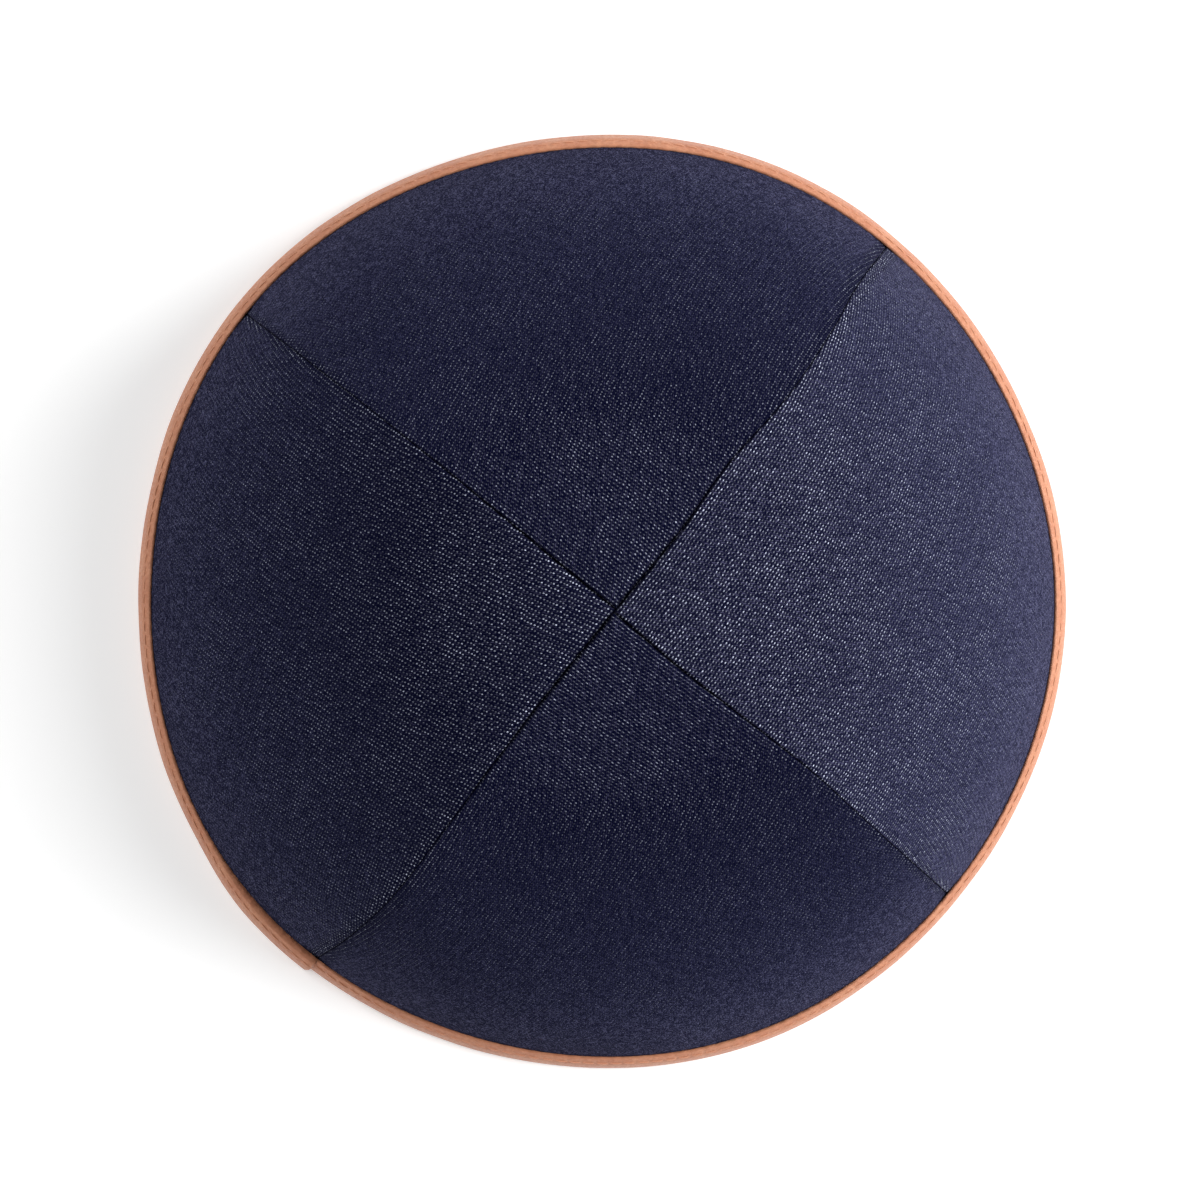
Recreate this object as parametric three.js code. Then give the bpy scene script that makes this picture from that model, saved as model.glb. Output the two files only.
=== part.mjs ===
import * as THREE from 'three';

// A round skullcap of four denim panels, its rim bound in a folded leather strip.
// Millimetres and degrees, +Z up. The origin is the middle of the rim, on the face that the cap rests on.
// Angles run anticlockwise from +X, seen from above.

// Driving dimensions
const rimDiameter = 168; // across the leather, where the rim is widest
const capHeight = 64; // from the resting face to the apex
const rimSlope = 72; // of the cloth wall at the rim, above the horizontal
const clothWall = 1.5; // denim with its backing
const seamGap = 0.3; // between the edges of two panels
const leatherThickness = 1;
const bindingOutside = 5.2; // leather up the slope outside, from the fold
const bindingInside = 5.6; // leather up the slope inside, from the fold
const bindingClearance = 0.3; // between leather and cloth
const foldRound = 1; // bevel of the strip's fold, outside and inside
const lapLength = 13.6; // where the strip's end lies over its start
const lapThickness = 0.8; // of the thinned end on top
const lapRamp = 6; // length over which the strip climbs onto its start
const lapCut = 0.4; // length of the end's step down
const lapEndAngle = 231.5; // where the end on top stops

// Shape of the crown
const crownSquareness = 0.72; // at the apex, from 0 for a circle in plan to 1 for a square
const roundingPower = 5; // how late the square plan turns into the rim's circle
const shoulderPower = 22; // how late the wall turns down to the rim

// The rim's slight waves, each a share of its radius, with one peak at the angle given
const rimWaves = [
  { lobes: 2, share: 0.0031, peak: 90 },
  { lobes: 4, share: 0.0024, peak: 46.5 },
  { lobes: 5, share: 0.0043, peak: -2.3 },
];

// The seams' routes from apex to rim: the angle at each share of the cloth's radius
const seamRoutes = {
  northEast: [
    { share: 0, angle: 50.6 },
    { share: 0.19, angle: 50.2 },
    { share: 0.35, angle: 51.9 },
    { share: 0.54, angle: 50.5 },
    { share: 0.73, angle: 51.2 },
    { share: 0.86, angle: 52 },
    { share: 1, angle: 51.3 },
  ],
  northWest: [
    { share: 0, angle: 140.2 },
    { share: 0.28, angle: 140 },
    { share: 0.58, angle: 140.4 },
    { share: 1, angle: 141 },
  ],
  southWest: [
    { share: 0, angle: 231 },
    { share: 0.19, angle: 231.2 },
    { share: 0.33, angle: 231.8 },
    { share: 0.52, angle: 232.6 },
    { share: 0.73, angle: 233.1 },
    { share: 0.84, angle: 232.6 },
    { share: 1, angle: 231.2 },
  ],
  southEast: [
    { share: 0, angle: 317.6 },
    { share: 0.15, angle: 318.4 },
    { share: 0.32, angle: 320.1 },
    { share: 0.51, angle: 320.8 },
    { share: 0.67, angle: 320.2 },
    { share: 0.82, angle: 319.9 },
    { share: 1, angle: 319.8 },
  ],
};

// Each panel runs anticlockwise from one seam to the next
const panels = [
  { name: 'panel_east', from: 'southEast', to: 'northEast' },
  { name: 'panel_north', from: 'northEast', to: 'northWest' },
  { name: 'panel_west', from: 'northWest', to: 'southWest' },
  { name: 'panel_south', from: 'southWest', to: 'southEast' },
];

// Fineness of the facets
const panelRows = 18;
const rowCrowding = 1.7; // how much closer the rows stand towards the rim, where the wall bends most
const panelColumns = 16;
const bindingSteps = 120;
const legSteps = 2;

// Sizes worked out from the ones above
const turn = 360;
const slope = THREE.MathUtils.degToRad(rimSlope);
const leatherStandoff = leatherThickness + bindingClearance;
const edgeHeight = leatherStandoff + clothWall * Math.cos(slope);
const crownRise = capHeight - edgeHeight;
const rimRadius = rimDiameter / 2;
const clothRadius = rimRadius - leatherStandoff / Math.sin(slope) - (edgeHeight - foldRound) / Math.tan(slope);
const bowlPower = 2;
const bowlShare = (shoulderPower - (Math.tan(slope) * clothRadius) / crownRise) / (shoulderPower - bowlPower);

function rimWave(angle) {
  const waves = rimWaves.map(({ lobes, share, peak }) => {
    return share * Math.cos(THREE.MathUtils.degToRad(lobes * (angle - peak)));
  });
  return waves.reduce((total, wave) => total + wave, 1);
}

// A smooth curve through the rows of a seam's route
function seamAngle(seam, share) {
  const rows = seamRoutes[seam];
  const last = rows.length - 1;
  const found = rows.findIndex((row) => row.share >= share);
  const next = THREE.MathUtils.clamp(found < 0 ? last : found, 1, last);
  const before = rows[next - 1];
  const after = rows[next];
  const span = after.share - before.share;
  const pace = (low, high) => (rows[high].angle - rows[low].angle) / (rows[high].share - rows[low].share);
  const paceBefore = pace(Math.max(next - 2, 0), next) * span;
  const paceAfter = pace(next - 1, Math.min(next + 1, last)) * span;
  const t = (share - before.share) / span;
  const blend = t * t * (3 - 2 * t);
  const rise = before.angle + (after.angle - before.angle) * blend;
  return rise + paceBefore * t * (1 - t) ** 2 - paceAfter * t * t * (1 - t);
}

// Height of the cloth's outer face. across is -1 and 1 at a panel's seams, which stand out as ridges.
function crownHeight(share, across) {
  const square = crownSquareness * (1 - share ** roundingPower) ** 2;
  const corner = 1 / Math.cos((across * Math.PI) / 4) - 1;
  const level = share / (1 + square * corner);
  const fall = bowlShare * level ** bowlPower + (1 - bowlShare) * level ** shoulderPower;
  return edgeHeight + crownRise * (1 - fall);
}

// A point in the vertical plane at an angle: out from the axis, and up
function planePoint(angle, out, up) {
  const turned = THREE.MathUtils.degToRad(angle);
  return new THREE.Vector3(out * Math.cos(turned), out * Math.sin(turned), up);
}

// The cloth's outer face moved along its normal: outwards for a positive offset
function crownPoint(share, across, angle, offset) {
  const step = 1e-4;
  const radius = clothRadius * rimWave(angle);
  const fall = (crownHeight(share + step, across) - crownHeight(share - step, across)) / (2 * step * radius);
  const length = Math.hypot(1, fall);
  const out = radius * share - (offset * fall) / length;
  return planePoint(angle, out, crownHeight(share, across) + offset / length);
}

function solid(points, triangles) {
  const geometry = new THREE.BufferGeometry();
  geometry.setAttribute('position', new THREE.Float32BufferAttribute(points.flatMap((p) => [p.x, p.y, p.z]), 3));
  geometry.setIndex(triangles.flat());
  geometry.computeVertexNormals();
  return geometry;
}

function quad(a, b, c, d) {
  return [
    [a, b, c],
    [a, c, d],
  ];
}

// One row of a panel: its two faces, seam to seam, with half the seam's gap left free at each side
function panelRow(panel, share, offset) {
  const from = seamAngle(panel.from, share);
  const seamTo = seamAngle(panel.to, share);
  const to = seamTo > from ? seamTo : seamTo + turn;
  const margin = THREE.MathUtils.radToDeg(Math.asin(seamGap / 2 / (clothRadius * share)));
  return Array.from({ length: panelColumns + 1 }, (_, column) => {
    const part = column / panelColumns;
    const angle = THREE.MathUtils.lerp(from + margin, to - margin, part);
    return crownPoint(share, 2 * part - 1, angle, offset);
  });
}

function panelTip(panel, offset) {
  const from = seamAngle(panel.from, 0);
  const seamTo = seamAngle(panel.to, 0);
  const half = ((seamTo > from ? seamTo : seamTo + turn) - from) / 2;
  const tipShare = seamGap / 2 / Math.sin(THREE.MathUtils.degToRad(half)) / clothRadius;
  return crownPoint(tipShare, 0, from + half, offset);
}

// A panel is a wall between an outer and an inner face, which both start at the panel's tip
function panelGeometry(panel) {
  const shares = Array.from({ length: panelRows }, (_, row) => 1 - (1 - (row + 1) / panelRows) ** rowCrowding);
  const outerRows = shares.map((share) => panelRow(panel, share, 0));
  const innerRows = shares.map((share) => panelRow(panel, share, -clothWall));
  const tips = [panelTip(panel, 0), panelTip(panel, -clothWall)];
  const points = [...tips, ...outerRows.flat(), ...innerRows.flat()];
  const outer = (row, column) => tips.length + row * (panelColumns + 1) + column;
  const inner = (row, column) => outer(panelRows + row, column);
  const triangles = [
    [0, 1, outer(0, 0)],
    [1, inner(0, 0), outer(0, 0)],
    [0, outer(0, panelColumns), 1],
    [1, outer(0, panelColumns), inner(0, panelColumns)],
  ];
  for (let column = 0; column < panelColumns; column += 1) {
    const beside = column + 1;
    const edge = panelRows - 1;
    triangles.push([0, outer(0, column), outer(0, beside)]);
    triangles.push([1, inner(0, beside), inner(0, column)]);
    triangles.push(...quad(outer(edge, column), inner(edge, column), inner(edge, beside), outer(edge, beside)));
    for (let row = 0; row < edge; row += 1) {
      const below = row + 1;
      triangles.push(...quad(outer(row, column), outer(below, column), outer(below, beside), outer(row, beside)));
      triangles.push(...quad(inner(row, column), inner(row, beside), inner(below, beside), inner(below, column)));
    }
  }
  for (let row = 0; row < panelRows - 1; row += 1) {
    const below = row + 1;
    const end = panelColumns;
    triangles.push(...quad(outer(row, 0), inner(row, 0), inner(below, 0), outer(below, 0)));
    triangles.push(...quad(outer(row, end), outer(below, end), inner(below, end), inner(row, end)));
  }
  return solid(points, triangles);
}

// How far the lapped end lifts the leather's faces
function lapLift(angle) {
  const toEnd = THREE.MathUtils.degToRad(lapEndAngle + turn - angle) * rimRadius;
  return lapThickness * (1 - THREE.MathUtils.smoothstep(toEnd, lapLength, lapLength + lapRamp));
}

// The shares of the cloth's radius at even steps up the strip's leg, from its top to the cloth's edge
function legShares(width) {
  const reach = (width * Math.cos(slope)) / clothRadius;
  return Array.from({ length: legSteps + 1 }, (_, step) => 1 - reach * (1 - step / legSteps));
}

// The strip's section at an angle: down its outer leg, round the fold, up the inner leg and back beside the cloth
function bindingSection(angle) {
  const lift = lapLift(angle);
  const outerShares = legShares(bindingOutside - edgeHeight / Math.sin(slope));
  const innerShares = legShares(bindingInside - edgeHeight / Math.sin(slope));
  const leg = (shares, offset) => shares.map((share) => crownPoint(share, 0, angle, offset));
  const footing = (offset, up) => {
    const out = clothRadius * rimWave(angle) + offset / Math.sin(slope) + (edgeHeight - up) / Math.tan(slope);
    return planePoint(angle, out, up);
  };
  const outside = leatherStandoff + lift;
  const inside = -clothWall - leatherStandoff - lift;
  const soleOut = footing(outside, foldRound).setZ(0);
  const soleIn = footing(inside, foldRound).setZ(0);
  const bevel = planePoint(angle, foldRound, 0);
  return [
    ...leg(outerShares, outside),
    footing(outside, foldRound),
    soleOut.sub(bevel),
    soleIn.add(bevel),
    footing(inside, foldRound),
    ...leg(innerShares, inside).reverse(),
    ...leg(innerShares, -clothWall - bindingClearance),
    footing(-clothWall - bindingClearance, leatherThickness),
    footing(bindingClearance, leatherThickness),
    ...leg(outerShares, bindingClearance).reverse(),
  ];
}

// The strip goes once round the rim, from the foot of its end's step to the top of it
function bindingGeometry() {
  const cutAngle = THREE.MathUtils.radToDeg(lapCut / rimRadius);
  const sections = Array.from({ length: bindingSteps }, (_, step) => {
    return bindingSection(lapEndAngle + ((turn - cutAngle) * step) / (bindingSteps - 1));
  });
  const count = sections[0].length;
  const corner = (step, side) => (step % bindingSteps) * count + (side % count);
  const triangles = sections.flatMap((section, step) => {
    return section.flatMap((_, side) => {
      return quad(corner(step, side), corner(step, side + 1), corner(step + 1, side + 1), corner(step + 1, side));
    });
  });
  return solid(sections.flat(), triangles);
}

const denim = new THREE.MeshStandardMaterial({ color: 0x2b2e4a, roughness: 0.9, metalness: 0 });
const leather = new THREE.MeshStandardMaterial({ color: 0xc9835c, roughness: 0.6, metalness: 0 });

function subPart(name, geometry, material) {
  const mesh = new THREE.Mesh(geometry, material);
  mesh.name = name;
  return mesh;
}

const skullcap = new THREE.Group();
panels.forEach((panel) => skullcap.add(subPart(panel.name, panelGeometry(panel), denim)));
skullcap.add(subPart('rim_binding', bindingGeometry(), leather));

export default skullcap;
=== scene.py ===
import math

import bpy
import numpy as np
from mathutils import Matrix, Vector, noise


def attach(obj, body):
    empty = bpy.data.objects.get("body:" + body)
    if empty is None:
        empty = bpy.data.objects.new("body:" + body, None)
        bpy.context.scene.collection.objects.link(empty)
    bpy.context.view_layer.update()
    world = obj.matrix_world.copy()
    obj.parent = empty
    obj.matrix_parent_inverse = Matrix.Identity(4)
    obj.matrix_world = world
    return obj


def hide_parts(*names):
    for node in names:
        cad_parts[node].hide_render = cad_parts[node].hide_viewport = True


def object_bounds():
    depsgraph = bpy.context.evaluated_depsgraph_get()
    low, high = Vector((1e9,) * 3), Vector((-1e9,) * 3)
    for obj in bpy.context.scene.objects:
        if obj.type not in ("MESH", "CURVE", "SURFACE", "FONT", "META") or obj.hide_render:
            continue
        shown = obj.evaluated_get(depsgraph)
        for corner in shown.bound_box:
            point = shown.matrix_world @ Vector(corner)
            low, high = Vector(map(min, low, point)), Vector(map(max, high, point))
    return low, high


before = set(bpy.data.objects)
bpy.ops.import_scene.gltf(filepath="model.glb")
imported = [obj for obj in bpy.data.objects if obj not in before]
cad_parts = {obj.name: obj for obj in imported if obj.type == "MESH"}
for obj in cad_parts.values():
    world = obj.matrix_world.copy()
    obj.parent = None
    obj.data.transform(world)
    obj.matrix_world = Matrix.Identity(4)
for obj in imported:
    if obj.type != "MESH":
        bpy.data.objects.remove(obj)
cadLow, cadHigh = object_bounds()
print("frame loaded")

# The cap's form, in metres and degrees. Angles run anticlockwise from +X, seen from above.
cap = {
    "rimDiameter": 0.168,  # across the leather
    "height": cadHigh[2],
    "rimSlope": math.radians(72),
    "clothWall": 0.0015,
    "leatherThickness": 0.001,
    "leatherClearance": 0.0003,
    "foldRound": 0.001,
    "squareness": 0.72,  # of the plan at the apex
    "roundingPower": 5,
    "bowlPower": 2,
    "shoulderPower": 22,
    "rimWaves": [(2, 0.0031, 90), (4, 0.0024, 46.5), (5, 0.0043, -2.3)],  # lobes, share, peak
}

# Each seam's route: the share of the way from apex to rim, and the angle there
seamRoutes = {
    "northEast": [(0, 50.6), (0.19, 50.2), (0.35, 51.9), (0.54, 50.5), (0.73, 51.2), (0.86, 52), (1, 51.3)],
    "northWest": [(0, 140.2), (0.28, 140), (0.58, 140.4), (1, 141)],
    "southWest": [
        (0, 231), (0.19, 231.2), (0.33, 231.8), (0.52, 232.6), (0.73, 233.1), (0.84, 232.6), (1, 231.2),
    ],
    "southEast": [
        (0, 317.6), (0.15, 318.4), (0.32, 320.1), (0.51, 320.8), (0.67, 320.2), (0.82, 319.9), (1, 319.8),
    ],
}

rimRadius = cap["rimDiameter"] / 2
rimSlope = cap["rimSlope"]
standoff = cap["leatherThickness"] + cap["leatherClearance"]
edgeHeight = standoff + cap["clothWall"] * math.cos(rimSlope)
crownRise = cap["height"] - edgeHeight
edgeDrop = edgeHeight - cap["foldRound"]
clothRadius = rimRadius - standoff / math.sin(rimSlope) - edgeDrop / math.tan(rimSlope)
rimSteepness = math.tan(rimSlope) * clothRadius / crownRise
bowlShare = (cap["shoulderPower"] - rimSteepness) / (cap["shoulderPower"] - cap["bowlPower"])


def rimWave(angle):
    # the rim's radius there, against a true circle's
    waves = [share * np.cos(np.radians(lobes * (angle - peak))) for lobes, share, peak in cap["rimWaves"]]
    return 1 + sum(waves)


def seamAngle(seam, share):
    shares, angles = np.array(seamRoutes[seam], float).T
    last = len(shares) - 1
    after = np.clip(np.searchsorted(shares, share), 1, last)
    before = after - 1
    low = np.maximum(before - 1, 0)
    high = np.minimum(after + 1, last)
    span = shares[after] - shares[before]
    paceBefore = (angles[after] - angles[low]) / (shares[after] - shares[low]) * span
    paceAfter = (angles[high] - angles[before]) / (shares[high] - shares[before]) * span
    t = (share - shares[before]) / span
    rise = angles[before] + (angles[after] - angles[before]) * t * t * (3 - 2 * t)
    return rise + paceBefore * t * (1 - t) ** 2 - paceAfter * t * t * (1 - t)


def crownHeight(share, across):
    square = cap["squareness"] * (1 - share ** cap["roundingPower"]) ** 2
    corner = 1 / np.cos(across * math.pi / 4) - 1
    level = share / (1 + square * corner)
    bowl = bowlShare * level ** cap["bowlPower"]
    shoulder = (1 - bowlShare) * level ** cap["shoulderPower"]
    return edgeHeight + crownRise * (1 - bowl - shoulder)


def planePoint(angle, out, up):
    turned = np.radians(angle)
    out, up, turned = np.broadcast_arrays(out, up, turned)
    return np.stack([out * np.cos(turned), out * np.sin(turned), up], axis=-1)


def crownPoint(share, across, angle, offset):
    # the cloth's outer face, moved along its normal
    step = 1e-4
    radius = clothRadius * rimWave(angle)
    rise = crownHeight(share + step, across) - crownHeight(share - step, across)
    fall = rise / (2 * step * radius)
    length = np.hypot(1, fall)
    out = radius * share - offset * fall / length
    return planePoint(angle, out, crownHeight(share, across) + offset / length)


def smooth(value, low, high):
    t = np.clip((value - low) / (high - low), 0, 1)
    return t * t * (3 - 2 * t)


def wobble(points, size, seed):
    # soft noise between -1 and 1, with lumps of about the given size in metres
    shift = Vector((seed * 3.7, seed * 5.1, seed * 7.3))
    flat = [noise.noise(Vector(p) / size + shift) for p in points.reshape(-1, 3).tolist()]
    return np.array(flat).reshape(points.shape[:-1])


# Shader helpers
def addNode(tree, kind, **settings):
    node = tree.nodes.new(kind)
    for name, value in settings.items():
        setattr(node, name, value)
    return node


def plug(tree, value, socket):
    if isinstance(value, bpy.types.NodeSocket):
        tree.links.new(value, socket)
    else:
        socket.default_value = value


def calc(tree, operation, *values):
    node = addNode(tree, "ShaderNodeMath", operation=operation)
    for value, socket in zip(values, node.inputs):
        plug(tree, value, socket)
    return node.outputs[0]


def vectorCalc(tree, operation, *values):
    node = addNode(tree, "ShaderNodeVectorMath", operation=operation)
    for value, socket in zip(values, node.inputs):
        plug(tree, value, socket)
    return node.outputs[0]


def ramp(tree, value, low, high, start=0.0, end=1.0, interpolation="SMOOTHSTEP"):
    node = addNode(tree, "ShaderNodeMapRange", interpolation_type=interpolation)
    for number, socket in zip((value, low, high, start, end), node.inputs):
        plug(tree, number, socket)
    return node.outputs[0]


def between(tree, value, span, scale=1.0):
    # a mask's 0 to 1 as the two values of a span
    return ramp(tree, value, 0, 1, span[0] * scale, span[1] * scale, "LINEAR")


def splitAxes(tree, vector):
    node = addNode(tree, "ShaderNodeSeparateXYZ")
    plug(tree, vector, node.inputs[0])
    return node.outputs


def addBump(tree, height, strength, distance, socket):
    node = addNode(tree, "ShaderNodeBump")
    node.inputs["Strength"].default_value = strength
    node.inputs["Distance"].default_value = distance
    plug(tree, height, node.inputs["Height"])
    plug(tree, node.outputs[0], socket)


def mixColor(tree, factor, first, second, mode="MIX"):
    node = addNode(tree, "ShaderNodeMix", data_type="RGBA", blend_type=mode)
    plug(tree, factor, node.inputs[0])
    plug(tree, first, node.inputs[6])
    plug(tree, second, node.inputs[7])
    return node.outputs[2]


def cloud(tree, vector, scale, detail=2.0, roughness=0.5, swirl=0.0):
    node = addNode(tree, "ShaderNodeTexNoise")
    plug(tree, vector, node.inputs["Vector"])
    node.inputs["Scale"].default_value = scale
    node.inputs["Detail"].default_value = detail
    node.inputs["Roughness"].default_value = roughness
    node.inputs["Distortion"].default_value = swirl
    return node.outputs[0]


def newGroup(name, inputs, outputs):
    tree = bpy.data.node_groups.new(name, "ShaderNodeTree")
    for label, kind, value in inputs:
        socket = tree.interface.new_socket(name=label, in_out="INPUT", socket_type=kind)
        socket.default_value = value
    for label, kind in outputs:
        tree.interface.new_socket(name=label, in_out="OUTPUT", socket_type=kind)
    source = tree.nodes.new("NodeGroupInput")
    result = tree.nodes.new("NodeGroupOutput")
    return tree, source.outputs, result.inputs


def useGroup(tree, group, **values):
    node = addNode(tree, "ShaderNodeGroup", node_tree=group)
    for label, value in values.items():
        plug(tree, value, node.inputs[label])
    return node.outputs


def newMaterial(name):
    material = bpy.data.materials.new(name)
    material.use_nodes = True
    tree = material.node_tree
    return material, tree, tree.nodes["Principled BSDF"]


def surfaceMap(tree, name, span):
    # a mesh's own surface coordinates, in metres
    node = addNode(tree, "ShaderNodeUVMap", uv_map=name)
    return vectorCalc(tree, "MULTIPLY", node.outputs[0], (span, span, 0))


# The weave: a twill whose warp passes over two picks and under one, with a pale fleck of weft there
twill = {
    "driftScale": 260,
    "fleckWidth": 0.6,  # in ends
    "fleckLength": 0.47,  # in picks, from its middle
    "nudgeAside": 0.3,
    "nudgeAlong": 0.13,
    "luckPower": 2.5,  # the higher, the fewer bright flecks
    "luck": (0.22, 1.0),
    "streakScale": (1900, 420, 0),
    "slubScale": (170, 2300, 0),
}


def buildTwill():
    tree, given, result = newGroup(
        "twillWeave",
        [
            ("Cloth", "NodeSocketVector", (0, 0, 0)),
            ("Pick", "NodeSocketFloat", 0.0005),
            ("End", "NodeSocketFloat", 0.0003),
            ("Uneven", "NodeSocketFloat", 0.3),
            ("Lean", "NodeSocketFloat", 0.5),  # how far a fleck leans towards the next pick's
        ],
        [("Fleck", "NodeSocketFloat"), ("Warp", "NodeSocketFloat"), ("Height", "NodeSocketFloat")],
    )
    drift = addNode(tree, "ShaderNodeTexNoise")
    plug(tree, given["Cloth"], drift.inputs["Vector"])
    drift.inputs["Scale"].default_value = twill["driftScale"]
    drift.inputs["Detail"].default_value = 1
    strayed = vectorCalc(tree, "SUBTRACT", drift.outputs["Color"], (0.5, 0.5, 0.5))
    axes = splitAxes(tree, given["Cloth"])
    strays = splitAxes(tree, strayed)
    shiftX = calc(tree, "MULTIPLY", strays[0], given["Uneven"])
    shiftY = calc(tree, "MULTIPLY", strays[1], given["Uneven"])
    along = calc(tree, "ADD", calc(tree, "DIVIDE", axes[0], given["Pick"]), shiftX)
    across = calc(tree, "ADD", calc(tree, "DIVIDE", axes[1], given["End"]), shiftY)
    pick = calc(tree, "FLOOR", along)
    end = calc(tree, "FLOOR", across)
    alongPick = calc(tree, "SUBTRACT", calc(tree, "SUBTRACT", along, pick), 0.5)
    acrossEnd = calc(tree, "SUBTRACT", calc(tree, "SUBTRACT", across, end), 0.5)
    # nearest fleck on this pick, which stands one end further back on each pick
    repeat = calc(tree, "DIVIDE", calc(tree, "SUBTRACT", calc(tree, "ADD", across, pick), 0.5), 3)
    fleckIndex = calc(tree, "ROUND", repeat)
    fromFleck = calc(tree, "MULTIPLY", calc(tree, "SUBTRACT", repeat, fleckIndex), 3)
    place = addNode(tree, "ShaderNodeCombineXYZ")
    plug(tree, pick, place.inputs[0])
    plug(tree, fleckIndex, place.inputs[1])
    chance = addNode(tree, "ShaderNodeTexWhiteNoise", noise_dimensions="2D")
    plug(tree, place.outputs[0], chance.inputs["Vector"])
    nudges = splitAxes(tree, chance.outputs["Color"])
    leaning = calc(tree, "MULTIPLY", calc(tree, "MULTIPLY", alongPick, 2.0), given["Lean"])
    aside = between(tree, nudges[0], (-1, 1), twill["nudgeAside"])
    ahead = between(tree, nudges[1], (-1, 1), twill["nudgeAlong"])
    offside = calc(tree, "SUBTRACT", calc(tree, "ADD", fromFleck, aside), leaning)
    wide = calc(tree, "DIVIDE", offside, twill["fleckWidth"])
    tall = calc(tree, "DIVIDE", calc(tree, "ADD", alongPick, ahead), twill["fleckLength"])
    squares = calc(tree, "ADD", calc(tree, "MULTIPLY", wide, wide), calc(tree, "MULTIPLY", tall, tall))
    mask = ramp(tree, calc(tree, "SQRT", squares), 0.1, 1.0, 1.0, 0.0)
    luck = between(tree, calc(tree, "POWER", chance.outputs["Value"], twill["luckPower"]), twill["luck"])
    streakPlace = vectorCalc(tree, "MULTIPLY", given["Cloth"], twill["streakScale"])
    streak = ramp(tree, cloud(tree, streakPlace, 1.0, 1.0), 0.3, 0.72)
    lit = calc(tree, "MULTIPLY", luck, calc(tree, "ADD", calc(tree, "MULTIPLY", streak, 0.5), 0.6))
    plug(tree, calc(tree, "MULTIPLY", mask, lit), result["Fleck"])
    # the warp's float is highest half way between two flecks of the same end
    ownRepeat = calc(tree, "DIVIDE", calc(tree, "SUBTRACT", calc(tree, "ADD", along, end), 0.5), 3)
    fromOwn = calc(tree, "ABSOLUTE", calc(tree, "SUBTRACT", ownRepeat, calc(tree, "ROUND", ownRepeat)))
    arch = ramp(tree, fromOwn, 0.16, 0.48, 0.12, 1.0)
    roundEnd = ramp(tree, calc(tree, "ABSOLUTE", acrossEnd), 0.15, 0.5, 1.0, 0.0)
    # painted highlight on the floats' tops and painted shade between the ends, used as height too
    warp = calc(tree, "MULTIPLY", arch, roundEnd)
    slubPlace = vectorCalc(tree, "MULTIPLY", given["Cloth"], twill["slubScale"])
    endTone = ramp(tree, cloud(tree, slubPlace, 1.0, 1.0), 0.32, 0.68, 0.3, 1.0)
    plug(tree, calc(tree, "MULTIPLY", warp, endTone), result["Warp"])
    plug(tree, calc(tree, "MAXIMUM", calc(tree, "MULTIPLY", mask, 0.8), warp), result["Height"])
    return tree


# Soft unevenness at two scales, for a tone that is never flat
def buildMottle():
    tree, given, result = newGroup(
        "mottle",
        [
            ("Place", "NodeSocketVector", (0, 0, 0)),
            ("Coarse", "NodeSocketFloat", 60.0),
            ("Fine", "NodeSocketFloat", 400.0),
        ],
        [("Soft", "NodeSocketFloat"), ("Speckle", "NodeSocketFloat")],
    )
    coarse = vectorCalc(tree, "SCALE", given["Place"])
    plug(tree, given["Coarse"], coarse.node.inputs["Scale"])
    fine = vectorCalc(tree, "SCALE", given["Place"])
    plug(tree, given["Fine"], fine.node.inputs["Scale"])
    plug(tree, ramp(tree, cloud(tree, coarse, 1.0, 2.0), 0.3, 0.7), result["Soft"])
    plug(tree, ramp(tree, cloud(tree, fine, 1.0, 1.0, 0.6), 0.32, 0.7), result["Speckle"])
    return tree


twillWeave = buildTwill()
mottle = buildMottle()

denim = {
    "span": 0.25,  # metres of cloth in one unit of its map
    "pick": 0.000518,
    "end": 0.0002965,
    "uneven": 1.1,
    "gapShadeTone": (0.0001, 0.0006, 0.0115, 1),
    "warpLitTone": (0.087, 0.085, 0.151, 1),
    "weftTone": (0.75, 0.81, 1.0, 1),
    # the nap's tone, and the lighter one that it takes towards the rim, a painted sheen of grazing light
    "napTone": (0.055, 0.057, 0.116, 1),
    "sheenedRimTone": (0.081, 0.081, 0.138, 1),
    "warpLight": (0.35, 1.5),
    "fleckLight": (0.75, 1.25),
    # ranges of distance from the apex, on the cloth
    "change": (0.022, 0.045),  # where the flecks' lean and light change
    "napRise": (0.035, 0.09),  # where the nap begins to blur the weave, and has done so
    "rimSheenRise": (0.074, 0.104),
    "napSheenRise": (0.06, 0.11),
    "napShare": 0.52,
    "rimSheen": 0.3,  # added to it beside the binding, as painted sheen
    "hairScale": 1500.0,
    "hairSwirl": 2.2,
    "hairRange": (0.5, 0.73),  # of the swirled noise, from no hair to a bright one
    "hairLight": (0.45, 5.0),
    "patchLight": (0.75, 1.25),
    "weaveDepth": 0.00013,
    "edgeWear": 0.0006,
    "edgeWhitening": 1.6,
    "edgeNap": 0.4,
    "seamShade": 0.85,  # darkness down in a seam near the apex
    "seamShadeOutward": 0.35,  # share of it that is left further out
    "seamShadeFall": (0.01, 0.05),
    "seamShadeWidth": (0.0005, 0.0004),
    "roughness": (0.85, 0.6),  # of warp and of flecks
}


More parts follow.
